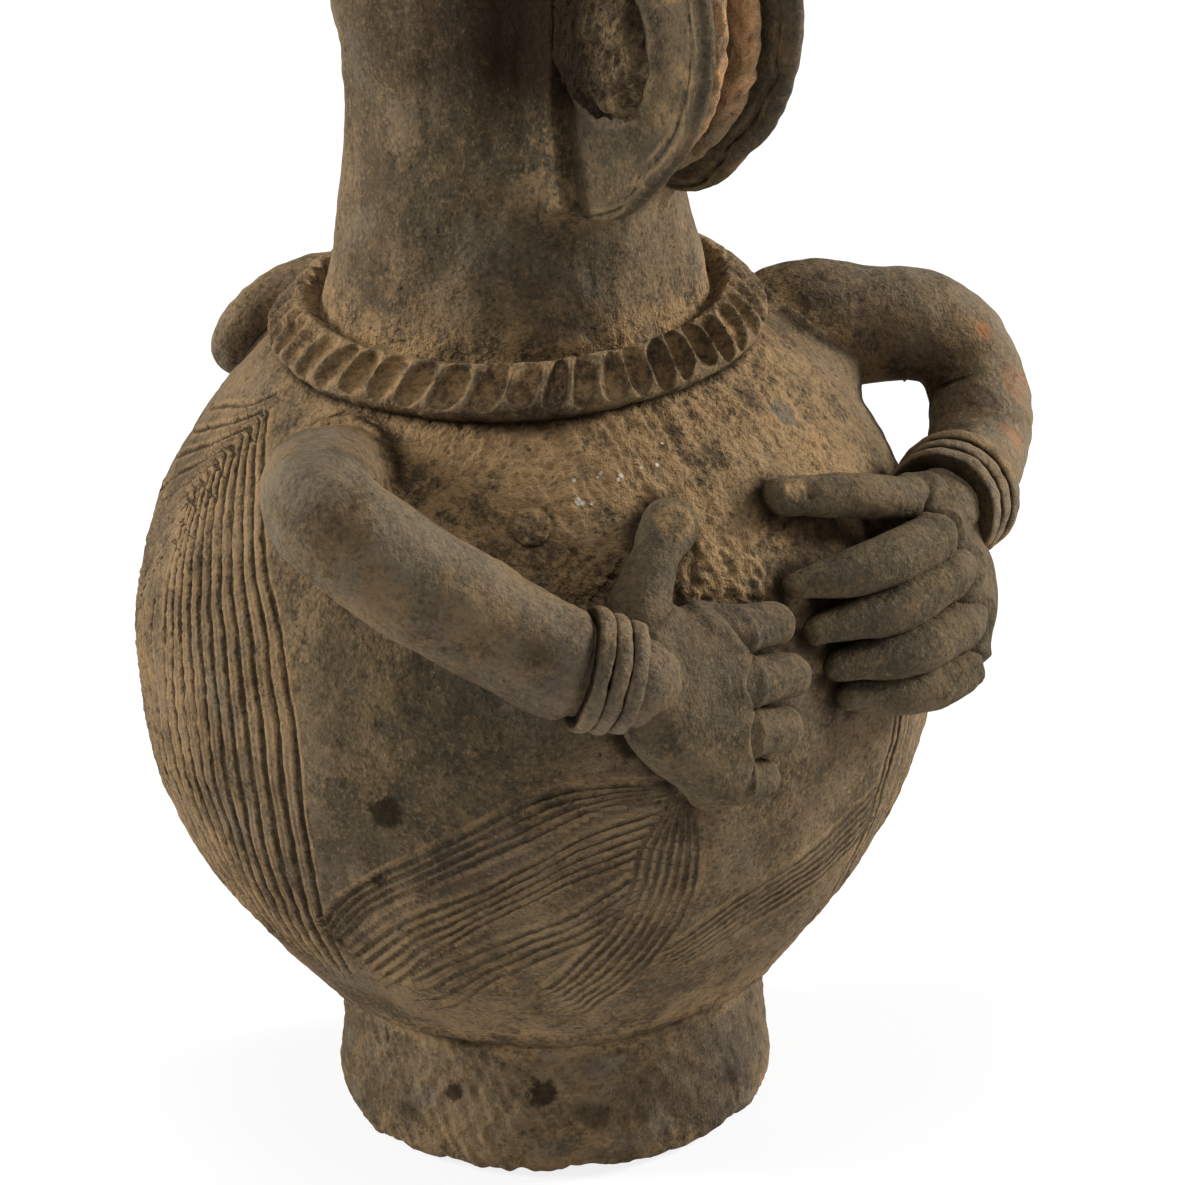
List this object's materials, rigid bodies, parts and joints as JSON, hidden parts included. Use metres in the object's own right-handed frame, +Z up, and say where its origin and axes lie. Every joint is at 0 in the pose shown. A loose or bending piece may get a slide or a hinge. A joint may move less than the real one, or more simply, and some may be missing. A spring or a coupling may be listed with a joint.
{
  "type": "terracotta figure jar",
  "caption": "Hand-built terracotta jar on a ring foot, with a round belly, a tall neck shaped as a head with an open mouth, a notched necklace and two modelled arms.",
  "frame": {"origin": "centre of the ring foot's flat underside, on the ground", "axes": "+Z up along the jar's axis, -Y out of the figure's face and chest, +X to the figure's left"},
  "size_m": [0.2649, 0.2476, 0.4695],
  "materials": {
    "foot_clay": "low-fired, matt, paler with rubbed-in earth",
    "pot_clay": "low-fired, matt brown with darker firing clouds and dust in its grooves",
    "necklace_clay": "low-fired, matt, pale dust between dark notches",
    "arm_clay": "low-fired, rubbed smoother and greyer than the belly",
    "jaw_clay": "low-fired, matt grey-brown with a rough crust on the cheeks",
    "lip_clay": "low-fired, matt red-brown",
    "trim_clay": "low-fired, matt brown"
  },
  "bodies": {
    "root": {"foot_ring": "foot_clay", "lower_bowl": "pot_clay", "shoulder_dome": "pot_clay", "neck_tube": "pot_clay", "head_tube": "pot_clay", "mouth_rim": "pot_clay", "necklace_coil": "necklace_clay", "left_arm": "arm_clay", "left_palm": "arm_clay", "left_thumb": "arm_clay", "left_index_finger": "arm_clay", "left_middle_finger": "arm_clay", "left_ring_finger": "arm_clay", "left_little_finger": "arm_clay", "left_bracelet_1": "arm_clay", "left_bracelet_2": "arm_clay", "left_bracelet_3": "arm_clay", "right_arm": "arm_clay", "right_palm": "arm_clay", "right_thumb": "arm_clay", "right_index_finger": "arm_clay", "right_middle_finger": "arm_clay", "right_ring_finger": "arm_clay", "right_little_finger": "arm_clay", "right_bracelet_1": "arm_clay", "right_bracelet_2": "arm_clay", "right_bracelet_3": "arm_clay", "left_jaw_plate": "jaw_clay", "left_inner_lip": "lip_clay", "left_cheek_lump": "jaw_clay", "right_jaw_plate": "jaw_clay", "right_inner_lip": "lip_clay", "right_cheek_lump": "jaw_clay", "right_nipple": "trim_clay", "rear_lug": "trim_clay", "left_eye": "trim_clay", "left_ear": "trim_clay", "right_eye": "trim_clay", "right_ear": "trim_clay", "nose": "trim_clay"}
  },
  "joints": []
}
